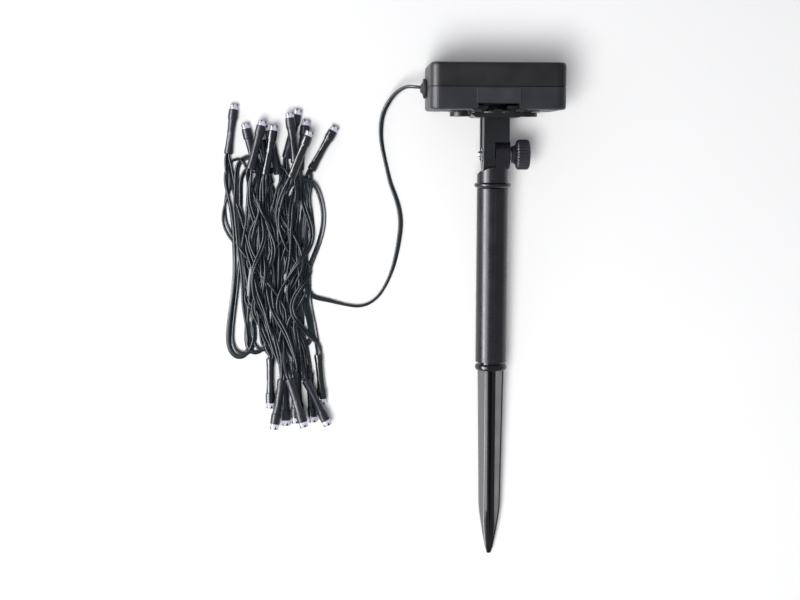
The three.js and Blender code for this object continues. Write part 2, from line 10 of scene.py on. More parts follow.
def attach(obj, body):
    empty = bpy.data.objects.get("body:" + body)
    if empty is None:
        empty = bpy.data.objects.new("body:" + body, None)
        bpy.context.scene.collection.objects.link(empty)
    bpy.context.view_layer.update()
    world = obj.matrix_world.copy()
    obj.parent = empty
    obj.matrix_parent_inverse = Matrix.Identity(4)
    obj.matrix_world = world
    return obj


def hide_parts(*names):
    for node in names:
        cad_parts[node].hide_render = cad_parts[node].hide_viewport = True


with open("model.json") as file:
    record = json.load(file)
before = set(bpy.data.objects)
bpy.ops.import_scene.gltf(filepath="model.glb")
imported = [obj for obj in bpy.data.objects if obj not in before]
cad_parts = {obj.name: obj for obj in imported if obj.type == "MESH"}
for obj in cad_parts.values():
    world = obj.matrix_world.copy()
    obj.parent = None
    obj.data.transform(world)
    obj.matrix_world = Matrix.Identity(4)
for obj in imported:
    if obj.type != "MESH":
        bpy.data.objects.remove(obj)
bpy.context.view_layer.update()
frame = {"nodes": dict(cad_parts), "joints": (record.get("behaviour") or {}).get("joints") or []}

MM = 0.001
rng = np.random.default_rng(20)
collection = bpy.context.scene.collection

# ---- the frame's axes and driving sizes ------------------------------------------------------
JOINTS = {joint["name"]: joint for joint in frame["joints"]}
ACROSS = Vector((1, 0, 0))
UP = Vector(JOINTS["pole_turn"]["axis"]).normalized()
BACK = UP.cross(ACROSS)
PIVOT = 228.5                    # height of the tilt axis, mm
UPRIGHT = Matrix.Identity(4)
for column, axis in enumerate((ACROSS, BACK, UP)):
    UPRIGHT.col[column] = (*(axis * MM), 0)
UPRIGHT.translation = Vector(JOINTS["head_tilt"]["pos_m"]) - UP * PIVOT * MM

GAP = 0.3
SEAM_HEIGHT = 0.09               # of the mould lines on the turned pieces
SPIKE_TOP = 106.8
TUBE_RADIUS = 8.8
TUBE_BORE = 7.4
TUBE_BOTTOM = 111.4
TUBE_TOP = 209.6
PLUG_RADIUS = 7.0
PLUG_BORE = 5.2
KNUCKLE = 8.4
SADDLE = 11.3
HEAD_BOTTOM = 252.9
SEAM = 265.2
HEAD_TOP = 278.4
HEAD_SIZE = (74, 60)
HEAD_CORNER = 5.5
WALL = 2.4
SLOT_TOP = 256.2
SCREW_PLACES = [(-30, -24), (30, -24), (30, 24), (-30, 24)]
BUTTON_PLACE = (22, -12)
GROMMET_Y = 8
PANEL_SIZE = (61.4, 47.4)
POLE_SEAMS = (-82.5, 97.5)
EAR_SIDES = (0.8, 9.2)
KNOB_FROM = 10.3                 # x where the knob's neck starts
KNOB_RIBS = 28
SPIKE_TURN = -22                 # degrees
FIN_THICKNESS = 2.2
LAMP_LENGTH = 28.6
LED_LENGTH = 2.9
# The LED's notches are not cut into its shape; they are painted shade in the resin's colour.
LED_NOTCHES = 5
LED_NOTCH = (1.6, 4.1)           # where the notches start and fade out along the resin, mm

# ---- camera ----------------------------------------------------------------------------------
EYE = Vector((-0.0835, 0.0059, 0.850))
LOOK_AT = Vector((-0.0515, 0.0059, 0.010))
FIELD = 30.4                     # width of the view, degrees


def make_camera():
    backwards = (EYE - LOOK_AT).normalized()
    right = Vector((0, 1, 0)).cross(backwards).normalized()
    above = backwards.cross(right)
    data = bpy.data.cameras.new("camera")
    data.angle = math.radians(FIELD)
    data.clip_end = 10
    camera = bpy.data.objects.new("camera", data)
    camera.matrix_world = Matrix((right, above, backwards)).transposed().to_4x4()
    camera.location = EYE
    collection.objects.link(camera)
    bpy.context.scene.camera = camera


make_camera()


# ---- mesh tools ------------------------------------------------------------------------------
def new_piece(name, vertices, faces, place=None):
    """A mesh object from points and faces, with doubled points merged and its faces outward."""
    mesh = bpy.data.meshes.new(name)
    mesh.from_pydata([tuple(v) for v in vertices], [], faces)
    shape = bmesh.new()
    shape.from_mesh(mesh)
    if place is not None:
        shape.transform(place)
    bmesh.ops.remove_doubles(shape, verts=shape.verts, dist=2e-7)
    bmesh.ops.dissolve_degenerate(shape, edges=shape.edges, dist=1e-8)
    bmesh.ops.recalc_face_normals(shape, faces=shape.faces)
    shape.to_mesh(mesh)
    shape.free()
    obj = bpy.data.objects.new(name, mesh)
    collection.objects.link(obj)
    return smooth(obj)


def smooth(obj, angle=38):
    """Smooth shading, with edges sharper than the angle left crisp."""
    obj.data.shade_smooth()
    obj.data.set_sharp_from_angle(angle=math.radians(angle))
    return obj


def skin_faces(rings, sides, capped=True):
    """Quads between rings of equal size, and a face across each end."""
    faces = []
    for ring in range(rings - 1):
        for side in range(sides):
            after = (side + 1) % sides
            low, high = ring * sides, (ring + 1) * sides
            faces.append((low + side, low + after, high + after, high + side))
    if capped:
        faces.append(tuple(reversed(range(sides))))
        faces.append(tuple(range((rings - 1) * sides, rings * sides)))
    return faces


def skin(name, rings, place=UPRIGHT, capped=True):
    """A closed body over rings of points. Without caps the last ring repeats the first."""
    rings = np.asarray(rings, float)
    return new_piece(name, rings.reshape(-1, 3), skin_faces(*rings.shape[:2], capped), place)


def eased(points, radius, steps=4):
    """An outline with each inner corner drawn as a small curve.

    A point may carry a third number, its own radius.
    """
    radii = [p[2] if len(p) > 2 else radius for p in points]
    points = [np.asarray(p[:2], float) for p in points]
    line = [points[0]]
    for before, corner, after, own in zip(points, points[1:], points[2:], radii[1:]):
        ends = []
        for other in (before, after):
            length = np.linalg.norm(other - corner)
            ends.append(corner + (other - corner) / length * min(own, 0.46 * length))
        for t in np.linspace(0, 1, steps + 1):
            line.append((1 - t) ** 2 * ends[0] + 2 * t * (1 - t) * corner + t * t * ends[1])
    line.append(points[-1])
    return line


def lathe(name, profile, along="z", at=(0, 0, 0), segments=64, ease=0.0, place=UPRIGHT,
          hollow=False, seams=()):
    """A body turned from [radius, height] points about an axis through a point, in mm.

    A hollow body's profile is a loop. Seams are the azimuths, in degrees, of fine mould lines.
    """
    if ease:
        profile = eased(profile, ease)
    if hollow:
        profile = [*profile, profile[0]]
    azimuths = {angle: 0.0 for angle in np.linspace(0, 360, segments, endpoint=False)}
    for seam in seams:
        azimuths.update({(seam + side * 1.5) % 360: 0.0 for side in (-1, 1)})
        azimuths.update({(seam + side * 0.6) % 360: SEAM_HEIGHT for side in (-1, 0, 1)})
    angles = np.radians(sorted(azimuths))
    raised = np.array([azimuths[angle] for angle in sorted(azimuths)])
    widest = max(radius for radius, _ in profile)
    rings = []
    for radius, height in profile:
        reach = radius + raised * (radius > 0.9 * widest)
        ring = np.column_stack([reach * np.cos(angles), reach * np.sin(angles),
                                np.full(len(angles), height)])
        rings.append(ring if along == "z" else ring[:, [2, 0, 1]])
    return skin(name, np.asarray(rings) + np.asarray(at, float), place, capped=not hollow)


def rounded_outline(width, depth, corner, steps=10):
    """Points around a rectangle with round corners."""
    points = []
    for quarter, (side_x, side_y) in enumerate([(1, -1), (1, 1), (-1, 1), (-1, -1)]):
        for step in range(steps + 1):
            angle = (quarter - 1 + step / steps) * math.pi / 2
            points.append((
                side_x * (width / 2 - corner) + corner * math.cos(angle),
                side_y * (depth / 2 - corner) + corner * math.sin(angle),
            ))
    return np.array(points)


def slab(name, size, corner, profile, ease=0.0, at=(0, 0)):
    """A block with round corners in plan; its profile is a list of [inset, height]."""
    if ease:
        profile = eased(profile, ease, steps=6)
    rings = []
    for inset, height in profile:
        outline = rounded_outline(size[0] - 2 * inset, size[1] - 2 * inset, max(corner - inset, 1.6))
        rings.append(np.column_stack([outline + np.asarray(at), np.full(len(outline), height)]))
    return skin(name, rings)


def block(low, high):
    """A plain block between two corners, a tool for cuts and joins."""
    (x0, y0, z0), (x1, y1, z1) = low, high
    rings = [[(x0, y0, z), (x1, y0, z), (x1, y1, z), (x0, y1, z)] for z in (z0, z1)]
    return skin("tool", rings)


def rod(radius, start, end, along="z", at=(0, 0), segments=48):
    """A round tool. Its axis passes through (x, y), or through (y, z) when it lies along x."""
    centre = (at[0], at[1], 0) if along == "z" else (0, at[0], at[1])
    return lathe("tool", [[radius, start], [radius, end]], along, centre, segments)


def settle(obj):
    """Applies the modifiers of an object to its mesh."""
    bpy.context.view_layer.update()
    graph = bpy.context.evaluated_depsgraph_get()
    before = obj.data
    obj.data = bpy.data.meshes.new_from_object(obj.evaluated_get(graph))
    obj.modifiers.clear()
    bpy.data.meshes.remove(before)
    return obj


def combine(obj, operation, tools):
    """Cuts the tools out of an object, or joins them to it, and uses them up."""
    for tool in tools:
        change = obj.modifiers.new("change", "BOOLEAN")
        change.operation = operation
        change.solver = "EXACT"
        change.object = tool
    settle(obj)
    for tool in tools:
        bpy.data.objects.remove(tool)
    return obj


def cut(obj, *tools):
    return combine(obj, "DIFFERENCE", tools)


def join(obj, *tools):
    return combine(obj, "UNION", tools)


def level_shading(obj, angle=38):
    """Smooth shading that leaves the large flat faces flat beside their small radii."""
    smooth(obj, angle)
    weigh = obj.modifiers.new("shading", "WEIGHTED_NORMAL")
    weigh.keep_sharp = True
    return settle(obj)


def round_edges(obj, width, segments=2, angle=32):
    """Small moulded radii, in mm, on every edge sharper than the angle."""
    bevel = obj.modifiers.new("edges", "BEVEL")
    bevel.width = width * MM
    bevel.segments = segments
    bevel.limit_method = "ANGLE"
    bevel.angle_limit = math.radians(angle)
    bevel.use_clamp_overlap = False
    return level_shading(settle(obj), 44)


def node_points(node):
    return np.array([v.co for v in frame["nodes"][node].data.vertices], float)


# ---- materials -------------------------------------------------------------------------------
def linear(*rgb):
    """A colour given as it shows on a screen, 0 to 255, as the shader needs it."""
    share = [c / 255 for c in rgb]
    return tuple(c / 12.92 if c <= 0.04045 else ((c + 0.055) / 1.055) ** 2.4 for c in share)


def link_noise(nodes, links, size, detail=2.0, stretch=(1, 1, 1)):
    """Noise of a given size in mm, in the piece's own coordinates."""
    place = nodes.new("ShaderNodeTexCoord")
    scale = nodes.new("ShaderNodeMapping")
    scale.inputs["Scale"].default_value = stretch
    noise = nodes.new("ShaderNodeTexNoise")
    noise.inputs["Scale"].default_value = 1 / (size * MM)
    noise.inputs["Detail"].default_value = detail
    links.new(place.outputs["Object"], scale.inputs["Vector"])
    links.new(scale.outputs["Vector"], noise.inputs["Vector"])
    return noise.outputs["Fac"]


def link_range(nodes, links, value, low, high, start=0.3, end=0.7):
    """Maps the middle of a noise's values to a range."""
    mapped = nodes.new("ShaderNodeMapRange")
    for name, number in (("From Min", start), ("From Max", end), ("To Min", low), ("To Max", high)):
        mapped.inputs[name].default_value = number
    links.new(value, mapped.inputs["Value"])
    return mapped.outputs["Result"]


def link_mix(nodes, links, factor, first, second):
    """One colour fading into another."""
    mix = nodes.new("ShaderNodeMix")
    mix.data_type = "RGBA"
    links.new(factor, mix.inputs["Factor"])
    for socket, colour in ((mix.inputs[6], first), (mix.inputs[7], second)):
        if isinstance(colour, tuple):
            socket.default_value = (*colour, 1)
        else:
            links.new(colour, socket)
    return mix.outputs[2]


def surface(name, colour, roughness, patch=9, shade=0.16, drift=0.05, grain=0.6, depth=0.01,
            stretch=(1, 1, 1), **sockets):
    """A material whose colour and gloss drift over patches, with a fine grain; sizes in mm."""
    material = bpy.data.materials.new(name)
    material.use_nodes = True
    nodes, links = material.node_tree.nodes, material.node_tree.links
    shader = nodes["Principled BSDF"]
    for socket, value in sockets.items():
        shader.inputs[socket.replace("_", " ")].default_value = value
    patches = link_noise(nodes, links, patch, 4)
    specks = link_noise(nodes, links, grain, 2, stretch)
    low = tuple(c * (1 - shade) for c in colour)
    high = tuple(c * (1 + shade) for c in colour)
    base = link_mix(nodes, links, link_range(nodes, links, patches, 0, 1), low, high)
    speckled = link_mix(nodes, links, link_range(nodes, links, specks, 0, 0.35, 0.55, 0.8),
                        base, tuple(c * (1 + 2.5 * shade) for c in colour))
    links.new(speckled, shader.inputs["Base Color"])
    gloss = link_range(nodes, links, patches, roughness - drift, roughness + drift)
    links.new(gloss, shader.inputs["Roughness"])
    bump = nodes.new("ShaderNodeBump")
    bump.inputs["Distance"].default_value = depth * MM
    links.new(specks, bump.inputs["Height"])
    links.new(bump.outputs["Normal"], shader.inputs["Normal"])
    return material


def panel_material():
    """Dark cells behind clear resin, with silver fingers and bus bars, laid out by the UV map."""
    material = surface("solar_laminate", linear(12, 17, 38), 0.16, patch=4, shade=0.35,
                       grain=3, depth=0.004, Coat_Weight=0.7, Coat_Roughness=0.06)
    nodes, links = material.node_tree.nodes, material.node_tree.links
    shader = nodes["Principled BSDF"]
    colour = shader.inputs["Base Color"].links[0].from_socket
    place = nodes.new("ShaderNodeUVMap")
    axes = nodes.new("ShaderNodeSeparateXYZ")
    links.new(place.outputs["UV"], axes.inputs["Vector"])
    # Each set of lines: which axis it steps along, the step and the width of a line, in mm.
    for axis, step, width, tint in (("X", 13.6, 0.55, linear(196, 200, 205)),
                                    ("Y", 22.4, 0.8, linear(214, 214, 208)),
                                    ("Y", 1.6, 0.14, linear(92, 98, 116))):
        wave = nodes.new("ShaderNodeMath")
        wave.operation = "PINGPONG"
        wave.inputs[1].default_value = step / 2
        links.new(axes.outputs[axis], wave.inputs[0])
        line = nodes.new("ShaderNodeMath")
        line.operation = "LESS_THAN"
        line.inputs[1].default_value = width / 2
        links.new(wave.outputs[0], line.inputs[0])
        colour = link_mix(nodes, links, line.outputs[0], colour, tint)
    links.new(colour, shader.inputs["Base Color"])
    return material


def led_material():
    """Clear resin, bright where it turns light back, with painted shade in notches round its hollow tip."""
    material = surface("led_resin", (0.66, 0.64, 0.80), 0.08, patch=1.5, shade=0.08, drift=0.03,
                       grain=1.1, depth=0.03, Transmission_Weight=0.3, IOR=1.49,
                       Coat_Weight=0.5, Coat_Roughness=0.03)
    nodes, links = material.node_tree.nodes, material.node_tree.links
    shader = nodes["Principled BSDF"]
    place = nodes.new("ShaderNodeUVMap")
    axes = nodes.new("ShaderNodeSeparateXYZ")
    links.new(place.outputs["UV"], axes.inputs["Vector"])
    notch = nodes.new("ShaderNodeMath")
    notch.operation = "PINGPONG"
    notch.inputs[1].default_value = 1 / (2 * LED_NOTCHES)
    links.new(axes.outputs["X"], notch.inputs[0])
    depth = link_range(nodes, links, axes.outputs["Y"], 0.42 / LED_NOTCHES, 0, *LED_NOTCH)
    # Painted shade: the resin turns near-black where a notch would be.
    painted_notch_shade = nodes.new("ShaderNodeMath")
    painted_notch_shade.operation = "LESS_THAN"
    links.new(notch.outputs[0], painted_notch_shade.inputs[0])
    links.new(depth, painted_notch_shade.inputs[1])
    colour = shader.inputs["Base Color"].links[0].from_socket
    links.new(link_mix(nodes, links, painted_notch_shade.outputs[0], colour, linear(20, 20, 27)),
              shader.inputs["Base Color"])
    return material


HOUSING = surface("housing_plastic", linear(15, 15, 18), 0.45, grain=0.5, depth=0.016)
BASE = surface("base_plastic", linear(30, 31, 37), 0.44, grain=0.5, depth=0.016)
PAD = surface("pad_plastic", linear(38, 40, 47), 0.42, grain=0.45, depth=0.02)
BRACKET = surface("bracket_plastic", linear(17, 18, 22), 0.34, grain=0.7, depth=0.006)
FITTING = surface("fitting_plastic", linear(21, 21, 27), 0.27, grain=0.7, depth=0.008)
POLE = surface("pole_plastic", linear(20, 20, 26), 0.29, grain=0.5, depth=0.010, stretch=(1, 0.3, 1))
SPIKE = surface("spike_plastic", linear(10, 10, 14), 0.16, patch=14, grain=1.6, depth=0.012)
KNOB = surface("knob_plastic", linear(38, 38, 45), 0.36, grain=0.4, depth=0.014)
STEEL = surface("plated_steel", linear(196, 198, 202), 0.24, grain=0.3, depth=0.004, Metallic=1.0)
NICKEL = surface("nickel_contact", linear(205, 200, 186), 0.22, grain=0.5, depth=0.003, Metallic=1.0)
SEAL = surface("seal_rubber", linear(26, 26, 28), 0.66, grain=0.4, depth=0.01)
RUBBER = surface("button_rubber", linear(30, 31, 34), 0.6, grain=0.5, depth=0.015)
BOARD = surface("board_laminate", linear(24, 84, 50), 0.38, patch=5, grain=0.4, depth=0.006)
CHIP = surface("chip_resin", linear(26, 26, 27), 0.55, patch=3, grain=0.2, depth=0.006)
FERRITE = surface("ferrite", linear(58, 52, 50), 0.6, patch=3, grain=0.25, depth=0.015)
WRAP = surface("battery_wrap", linear(44, 122, 66), 0.26, patch=16, shade=0.08, grain=2, depth=0.004)
SWITCH = surface("switch_plastic", linear(28, 28, 30), 0.4, patch=3, grain=0.3, depth=0.006)
CABLE = surface("cable_pvc", linear(20, 29, 33), 0.30, patch=12, shade=0.3, grain=1.2, depth=0.005)
MATT_SLEEVE = surface("lamp_sleeve", linear(29, 33, 41), 0.32, patch=7, grain=1.3, depth=0.05)
GLOSSY_SLEEVE = surface("lamp_sleeve_glossy", linear(12, 21, 23), 0.14, patch=5, grain=2.4, depth=0.22,
                        Coat_Weight=0.6, Coat_Roughness=0.04)
LED = led_material()
PHOSPHOR = surface("led_phosphor", linear(206, 190, 84), 0.5, patch=0.6, grain=0.2, depth=0.01)
PANEL = panel_material()


def hand_over(obj, body, material, slot, *nodes):
    """Gives a piece its material and its body, and hides the CAD nodes it stands for."""
    obj.data.materials.clear()
    obj.data.materials.append(material)
    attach(obj, body)
    if nodes:
        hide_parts(*nodes)
    return obj


# ---- lamps: where they lie -------------------------------------------------------------------
LAMP_NODES = [f"led_lamp_{number:02d}" for number in range(1, 21)]


def lamp_line(node):
    """The tip of a lamp's LED and the unit direction from there down its sleeve, in metres."""
    points = node_points(node)
    spread = points - points.mean(0)
    axis = np.linalg.svd(spread, full_matrices=False)[2][0]
    centre = points.mean(0)
    along = (points - centre) @ axis
    aside = np.linalg.norm(points - centre - np.outer(along, axis), axis=1)
    collar = along[aside > 0.985 * aside.max()].mean()
    if collar - along.min() > along.max() - collar:
        axis, along = -axis, -along
    return centre + axis * along.min(), axis


LAMPS = [lamp_line(node) for node in LAMP_NODES]

# ---- cords: where they lie -------------------------------------------------------------------
LEAD_WIDTH = 3.0 * MM
LEAD_THICK = 1.6 * MM
WIRE = 1.5 * MM
SPAN_LENGTH = 0.13

# The lead's route from the grommet to the hank, as the model's source has it.
LEAD_ROUTE = [(x * MM, y * MM, z * MM) for x, y, z in [
    (-40.8, 125.6, 23.0), (-44.3, 126.0, 22.3), (-47.8, 126.4, 20.0), (-51.4, 125.2, 16.2),
    (-55.1, 122.4, 11.4), (-58.1, 118.6, 6.9), (-60.5, 114.0, 3.7), (-61.9, 108.5, 2.0),
    (-62.2, 101.3, 1.6), (-61.6, 95.2, 1.6), (-60.4, 89.1, 1.6), (-58.8, 81.9, 1.6),
    (-56.7, 73.4, 1.6), (-53.8, 65.5, 1.6), (-51.6, 57.8, 1.6), (-50.8, 50.0, 1.6),
    (-51.6, 41.7, 1.6), (-53.0, 33.7, 1.6), (-55.2, 24.9, 1.6), (-58.8, 15.9, 1.6),
    (-63.5, 8.4, 1.6), (-69.0, 4.0, 1.6), (-75.1, 2.4, 1.6), (-82.6, 3.2, 1.6),
    (-91.3, 5.4, 1.6), (-101.0, 8.0, 1.6),
]]
# The last stretch of the lead bulges out of the hank on its right before it meets lamp 19.
LEAD_FINISH = [
    (-106.5, 80), (-99.0, 71), (-93.9, 57), (-94.3, 49), (-96.4, 40.7), (-101, 30), (-105.6, 21),
    (-103.5, 2),
]
LEAD_FOLDS = 15                  # runs of the lead up and down the hank
TURN_HALF = 6.8                  # half the width of a turn, mm
TURN_HEIGHT = 3.0
LEAD_END_LAMP = 19

# The order of the lamps along the string, which runs up and down the hank.
STRING_ORDER = [19, 9, 17, 10, 20, 8, 18, 6, 15, 7, 16, 4, 14, 3, 13, 1, 12, 2, 5, 11]


def spline(points, step):
    """A smooth curve through points, with its own points about a step apart."""
    points = np.asarray(points, float)
    ends = np.vstack([2 * points[0] - points[1], points, 2 * points[-1] - points[-2]])
    line = [points[0]]
    for before, start, end, after in zip(ends, ends[1:], ends[2:], ends[3:]):
        count = max(2, round(np.linalg.norm(end - start) / step))
        for t in np.linspace(0, 1, count + 1)[1:]:
            line.append(0.5 * (
                2 * start + (end - before) * t
                + (2 * before - 5 * start + 4 * end - after) * t ** 2
                + (3 * start - before - 3 * end + after) * t ** 3
            ))
    return np.array(line)


def length_of(line):
    return float(np.linalg.norm(np.diff(line, axis=0), axis=1).sum())


def even(line, step):
    """The same line with points an equal distance apart."""
    gaps = np.linalg.norm(np.diff(line, axis=0), axis=1)
    reach = np.concatenate([[0], np.cumsum(gaps)])
    count = max(3, round(reach[-1] / step) + 1)
    wanted = np.linspace(0, reach[-1], count)
    return np.column_stack([np.interp(wanted, reach, line[:, i]) for i in range(3)])


def lead_start():
    """The lead before it settles, in mm: its route, its folds inside the hank and its finish."""
    points = [tuple(c / MM for c in p) for p in LEAD_ROUTE]
    points.append((-106, 13, 3))
    lanes = [-125.5 + 19.5 * math.cos(0.35 + 2 * math.pi * fold / LEAD_FOLDS)
             for fold in range(LEAD_FOLDS + 1)]
    for fold, (lane, next_lane) in enumerate(zip(lanes, lanes[1:])):
        upwards = fold % 2 == 0
        left = (-104 - lane) / 44
        end = 80 + 11 * left + 2 * math.sin(fold) if upwards else -22 - 7 * left
        inward = -7 if upwards else 7
        side = 1 if lane > next_lane else -1
        middle = (lane + next_lane) / 2
        height = 3 + 10 * rng.random()
        if fold == LEAD_FOLDS - 1:
            # The last run comes up further in, and its turn is the start of the finish.
            points.extend([(-116, 30, TURN_HEIGHT), (-116.8, 68, TURN_HEIGHT + 1)])
            break
        points.append((lane + 2 * math.sin(2.3 * fold), 36 + 8 * math.sin(fold * 1.7), height))
        points.append((middle + side * TURN_HALF, end + inward, TURN_HEIGHT))
        points.append((middle, end, TURN_HEIGHT))
        points.append((middle - side * TURN_HALF, end + inward, TURN_HEIGHT))
    points.extend((x, y, 3 + 0.08 * max(0, y - 40)) for x, y in LEAD_FINISH)
    tip, axis = LAMPS[LEAD_END_LAMP - 1]
    base = (tip + axis * LAMP_LENGTH * MM) / MM
    points.append(base + axis * 9 + (0, 0, 0.4))
    points.append(base - axis * 1.5)
    return points


def span_lanes():
    """How far each span moves aside at mid height, so that together they fill the hank's width."""
    straight = []
    for first, second in zip(STRING_ORDER, STRING_ORDER[1:]):
        ends = [LAMPS[lamp - 1][0][0] / MM for lamp in (first, second)]
        straight.append(sum(ends) / 2)
    order = np.argsort(np.argsort(straight))
    lanes = -142 + 41 * (order + 0.5) / len(straight)
    return lanes - np.array(straight)


def span_start(first, second, aside):
    """One span from lamp to lamp before it settles, waved until it has its length, in mm."""
    (tip_a, axis_a), (tip_b, axis_b) = LAMPS[first - 1], LAMPS[second - 1]
    base_a = (tip_a + axis_a * LAMP_LENGTH * MM) / MM
    base_b = (tip_b + axis_b * LAMP_LENGTH * MM) / MM
    offset_a = np.cross(axis_a, (0, 0, 1)) * 0.8
    offset_b = -np.cross(axis_b, (0, 0, 1)) * 0.8
    start = [base_a + offset_a - axis_a * 1.5, base_a + offset_a + axis_a * 6]
    finish = [base_b + offset_b + axis_b * 6, base_b + offset_b - axis_b * 1.5]
    heights = rng.uniform(2, 15, 5)
    phase = rng.uniform(0, 2 * math.pi)
    same_end = axis_a[1] * axis_b[1] > 0

    def shape(amount):
        if same_end:
            turn = 60 - amount
            middle = (base_a + base_b) / 2
            half = TURN_HALF * np.sign(base_a[0] - base_b[0])
            return start + [
                (middle[0] + 1.2 * half, (base_a[1] + turn) / 2, TURN_HEIGHT),
                (middle[0] + half, turn + 6, TURN_HEIGHT), (middle[0], turn, TURN_HEIGHT),
                (middle[0] - half, turn + 6, TURN_HEIGHT),
                (middle[0] - 1.2 * half, (base_b[1] + turn) / 2, TURN_HEIGHT),
            ] + finish
        middle = []
        for part, height in zip(np.linspace(0.18, 0.82, 5), heights):
            x, y, _ = base_a + (base_b - base_a) * part
            swell = math.sin(part * math.pi)
            wave = amount * math.sin(part * 3 * math.pi + phase)
            middle.append((x + swell * (aside + wave), y, height))
        return start + middle + finish

    # Settling takes up a little of the length, so a span starts out longer.
    start_length = 1.04 * SPAN_LENGTH / MM
    low, high = (0, 60) if same_end else (0, 12)
    for _ in range(12):
        half_way = (low + high) / 2
        if length_of(spline(shape(half_way), 3)) < start_length:
            low = half_way
        else:
            high = half_way
    return shape(low)


def closest(a, b, c, d):
    """Shares along the segments a-b and c-d of their nearest points, for many pairs at once."""
    u, v, w = b - a, d - c, a - c
    uu, uv, vv = (u * u).sum(1), (u * v).sum(1), (v * v).sum(1)
    uw, vw = (u * w).sum(1), (v * w).sum(1)
    s = np.clip((uv * vw - vv * uw) / np.maximum(uu * vv - uv * uv, 1e-9), 0, 1)
    t = np.clip((uv * s + vw) / np.maximum(vv, 1e-9), 0, 1)
    s = np.clip((uv * t - uw) / np.maximum(uu, 1e-9), 0, 1)
    return s, t


def settle_cords(chains, held, rounds=260):
    """Lets bundled cords sink and push each other apart, lengths kept; all in mm."""
    spacing, floor, roof = 2.35, 0.95, 16.8
    points = np.vstack(chains)
    home = points.copy()
    sizes = [len(chain) for chain in chains]
    starts = np.cumsum([0] + sizes[:-1])
    owner = np.repeat(np.arange(len(chains)), sizes)
    fixed = np.zeros(len(points), bool)
    for start, size, (head, tail) in zip(starts, sizes, held):
        fixed[start:start + head] = True
        fixed[start + size - tail:start + size] = True
    free = (~fixed).astype(float)[:, None]
    first = np.array([i for i in range(len(points) - 1) if owner[i] == owner[i + 1]])
    rest = np.linalg.norm(points[first + 1] - points[first], axis=1)
    inner = np.array([i for i in range(1, len(points) - 1) if owner[i - 1] == owner[i + 1]])
    pairs = None
    lamp_starts = np.array([tip / MM for tip, _ in LAMPS])
    lamp_ends = np.array([(tip + axis * (LAMP_LENGTH + 1) * MM) / MM for tip, axis in LAMPS])
    for turn in range(rounds):
        points[:, 2] -= 0.05 * free[:, 0]
        points += free * 0.02 * (home - points) * (1, 1, 0)
        bend = (points[inner - 1] + points[inner + 1]) / 2 - points[inner]
        points[inner] += 0.22 * free[inner] * bend
        if turn % 10 == 0:
            middle = (points[first] + points[first + 1]) / 2
            gap = np.linalg.norm(middle[:, None] - middle[None], axis=2)
            i, j = np.nonzero(np.triu(gap < 7, 1))
            far = (owner[first[i]] != owner[first[j]]) | (j - i > 5)
            pairs = first[i[far]], first[j[far]]
        a, c = pairs
        s, t = closest(points[a], points[a + 1], points[c], points[c + 1])
        near_a = points[a] + (points[a + 1] - points[a]) * s[:, None]
        near_c = points[c] + (points[c + 1] - points[c]) * t[:, None]
        apart = near_a - near_c
        distance = np.linalg.norm(apart, axis=1)
        hit = distance < spacing
        push = apart[hit] + (0, 0, 1e-3)
        push /= np.linalg.norm(push, axis=1)[:, None]
        push *= 0.25 * (spacing - distance[hit])[:, None]
        moved = np.zeros_like(points)
        for ends, share, sign in ((a[hit], s[hit], 1), (c[hit], t[hit], -1)):
            np.add.at(moved, ends, sign * push * (1 - share)[:, None])
            np.add.at(moved, ends + 1, sign * push * share[:, None])
        points += free * np.clip(moved, -0.6, 0.6)
        # Lamps stand in the way as rods.
        for low, high in zip(lamp_starts, lamp_ends):
            along = high - low
            share = np.clip(((points - low) @ along) / (along @ along), 0, 1)
            away = points - (low + share[:, None] * along)
            reach = np.linalg.norm(away, axis=1)
            inside = (reach < 4.0) & ~fixed
            points[inside] += 0.5 * away[inside] * (4.0 / np.maximum(reach[inside], 0.2) - 1)[:, None]
        for _ in range(3):
            line = points[first + 1] - points[first]
            size = np.linalg.norm(line, axis=1)
            fix = (0.5 * (size - rest) / np.maximum(size, 1e-6))[:, None] * line
            change = np.zeros_like(points)
            np.add.at(change, first, fix * 0.5)
            np.add.at(change, first + 1, -fix * 0.5)
            points += free * change
        points[:, 2] = np.where(fixed, points[:, 2], np.clip(points[:, 2], floor, roof))
    return [points[start:start + size] for start, size in zip(starts, sizes)]


def lay_cords():
    """The centre lines of the lead and of every span, in metres."""
    step = 3.0
    route_length = length_of(spline(LEAD_ROUTE, 2 * MM)) / MM
    lead = even(spline(lead_start(), 1.5), step)
    spans = [even(spline(span_start(first, second, aside), 1.5), step)
             for first, second, aside in zip(STRING_ORDER, STRING_ORDER[1:], span_lanes())]
    held = [(round(route_length / step) + 1, 2)] + [(2, 2)] * len(spans)
    laid = settle_cords([lead] + spans, held, 260)
    smoothed = []
    for number, (line, (head, tail)) in enumerate(zip(laid, held)):
        for _ in range(6 if number == 0 else 2):
            inner = line[1:-1] * 0.5 + (line[:-2] + line[2:]) * 0.25
            line = np.vstack([line[:head], inner[head - 1:len(inner) - tail + 1], line[-tail:]])
        smoothed.append(even(spline(line * MM, 1.0 * MM), 1.5 * MM))
    return smoothed[0], smoothed[1:]


# ---- cords: their shape ----------------------------------------------------------------------
def side_frames(line):
    """For each point of a line, the unit vectors level with the table and square to both."""
    tangents = np.gradient(line, axis=0)
    tangents /= np.linalg.norm(tangents, axis=1)[:, None]
    level = np.cross(tangents, (0, 0, 1))
    level /= np.maximum(np.linalg.norm(level, axis=1), 1e-6)[:, None]
    return level, np.cross(level, tangents)


def twisted_sweep(line, section, angles):
    """Rings of a section carried along a line, turned by an angle at each point."""
    level, upright = side_frames(line)
    turned = []
    for centre, a, b, angle in zip(line, level, upright, angles):
        wide = a * math.cos(angle) + b * math.sin(angle)
        thick = b * math.cos(angle) - a * math.sin(angle)
        turned.append(centre + section[:, :1] * wide + section[:, 1:] * thick)
    return np.array(turned)


